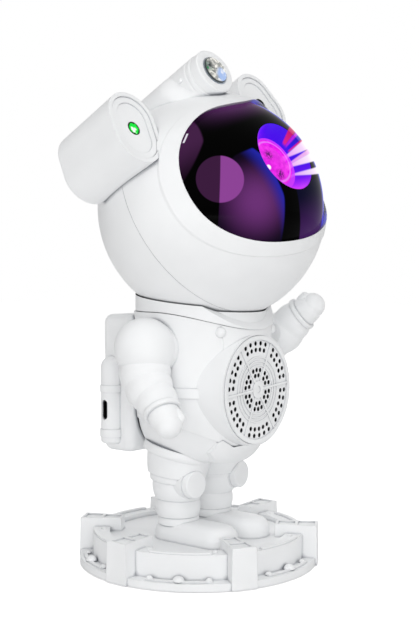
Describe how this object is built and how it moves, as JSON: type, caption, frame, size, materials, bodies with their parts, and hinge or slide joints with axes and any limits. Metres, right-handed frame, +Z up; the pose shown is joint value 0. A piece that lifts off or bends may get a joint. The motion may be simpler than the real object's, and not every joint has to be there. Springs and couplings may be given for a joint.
{
  "type": "planetarium projector",
  "caption": "Space-suited figure whose swivelling helmet projects drifting clouds and laser stars, with a chest speaker, movable arms and a stepped round base.",
  "frame": {"origin": "centre of the pad under the base, on the table", "axes": "+Z up; the figure looks towards -Y; its left hand is on +X"},
  "size_m": [0.1203, 0.1116, 0.2264],
  "materials": {
    "white_abs": "injection moulded white ABS, semi-gloss",
    "grey_abs": "injection moulded light grey ABS",
    "pad_rubber": "die-cut soft foam rubber",
    "zinc_steel": "zinc plated steel",
    "circuit_board": "green solder resist on glass fibre",
    "led_substrate": "white solder resist on aluminium",
    "grey_acetal": "moulded acetal",
    "magnet_nickel": "nickel plated sintered magnet",
    "black_steel": "pressed steel, black lacquer",
    "ferrite": "sintered ferrite",
    "surround_rubber": "moulded rubber",
    "dust_cloth": "woven black cloth",
    "cone_paper": "pressed black paper",
    "socket_steel": "tinned steel shell",
    "button_grey": "moulded ABS caps",
    "smoked_acrylic": "deep smoked acrylic, near black, glossy",
    "tunnel_violet": "moulded funnel, glossy",
    "lens_glass": "clear moulded lens",
    "black_abs": "black ABS",
    "sink_aluminium": "extruded aluminium",
    "gear_acetal": "moulded acetal gear",
    "brass_pinion": "cut brass",
    "axle_steel": "ground steel",
    "motor_steel": "drawn steel can",
    "dark_bezel": "moulded grey ABS, shaded",
    "crystal": "faceted clear lens",
    "laser_brass": "turned brass",
    "laser_window": "diffraction film, lit green"
  },
  "bodies": {
    "stand": {"base_ring": "white_abs", "base_cover": "grey_abs", "base_pad": "pad_rubber", "base_screws": "zinc_steel", "leg_screws": "zinc_steel", "right_leg": "white_abs", "left_leg": "white_abs", "torso_front": "white_abs", "torso_rear": "white_abs", "main_board": "circuit_board", "collar": "white_abs", "speaker_grille": "white_abs", "speaker_cloth": "dust_cloth", "speaker_frame": "black_steel", "speaker_magnet": "ferrite", "speaker_surround": "surround_rubber", "backpack_shell": "white_abs", "backpack_cover": "white_abs", "usb_socket": "socket_steel", "button_board": "circuit_board"},
    "neck": {"neck_carrier": "grey_acetal", "neck_magnet": "magnet_nickel"},
    "head": {"helmet_front": "white_abs", "helmet_rear": "white_abs", "visor": "smoked_acrylic", "light_tunnel": "tunnel_violet", "projection_lens": "lens_glass", "projector_frame": "black_abs", "condenser_lens": "lens_glass", "led_board": "led_substrate", "heat_sink": "sink_aluminium", "wheel_axle": "axle_steel", "nebula_motor": "motor_steel", "right_pod": "white_abs", "left_pod": "white_abs", "right_pod_face": "white_abs", "left_pod_face": "white_abs", "lamp_housing": "white_abs", "lamp_bezel": "dark_bezel", "lamp_crystal": "crystal", "lamp_led": "led_substrate", "laser_modules": "laser_brass", "laser_windows": "laser_window", "head_keeper": "zinc_steel"},
    "right_arm": {"right_arm": "white_abs"},
    "left_arm": {"left_arm": "white_abs"},
    "speaker_cone": {"speaker_cone": "cone_paper"},
    "power_button": {"power_button": "button_grey"},
    "nebula_button": {"nebula_button": "button_grey"},
    "laser_button": {"laser_button": "button_grey"},
    "sound_button": {"sound_button": "button_grey"},
    "ripple": {"ripple_wheel": "gear_acetal", "ripple_glass": "lens_glass"},
    "rotor": {"motor_pinion": "brass_pinion"}
  },
  "joints": [
    {"name": "head_pan", "type": "hinge", "parent": "stand", "child": "neck", "pos_m": [0, -0.00789, 0.15969], "axis": [0, 0, 1], "range_deg": [-180, 180]},
    {"name": "head_tilt", "type": "hinge", "parent": "neck", "child": "head", "pos_m": [0, -0.00789, 0.15969], "axis": [-0.975, -0.0148, -0.2218], "range_deg": [-20, 35]},
    {"name": "right_shoulder", "type": "hinge", "parent": "stand", "child": "right_arm", "pos_m": [-0.0372, -0.001, 0.0986], "axis": [-1, 0, 0], "range_deg": [-92, 97]},
    {"name": "left_shoulder", "type": "hinge", "parent": "stand", "child": "left_arm", "pos_m": [0.0372, -0.001, 0.0986], "axis": [-1, 0, 0], "range_deg": [-178, 11]},
    {"name": "cone_stroke", "type": "slide", "parent": "stand", "child": "speaker_cone", "axis": [0, -1, 0], "range_m": [-0.0006, 0.0006], "stiffness_N_per_m": 600},
    {"name": "power_press", "type": "slide", "parent": "stand", "child": "power_button", "axis": [0, -1, 0], "range_m": [0, 0.0008], "stiffness_N_per_m": 400},
    {"name": "nebula_press", "type": "slide", "parent": "stand", "child": "nebula_button", "axis": [0, -1, 0], "range_m": [0, 0.0008], "stiffness_N_per_m": 400},
    {"name": "laser_press", "type": "slide", "parent": "stand", "child": "laser_button", "axis": [0, -1, 0], "range_m": [0, 0.0008], "stiffness_N_per_m": 400},
    {"name": "sound_press", "type": "slide", "parent": "stand", "child": "sound_button", "axis": [0, -1, 0], "range_m": [0, 0.0008], "stiffness_N_per_m": 400},
    {"name": "ripple_spin", "type": "hinge", "parent": "head", "child": "ripple", "pos_m": [0.00986, -0.02752, 0.17175], "axis": [-0.0835, -0.9002, 0.4274], "continuous": true},
    {"name": "motor_spin", "type": "hinge", "parent": "head", "child": "rotor", "pos_m": [0.00622, -0.03828, 0.14837], "axis": [-0.0835, -0.9002, 0.4274], "continuous": true}
  ],
  "couplings": [
    {"joint": "motor_spin", "follows": "ripple_spin", "ratio": -4}
  ]
}
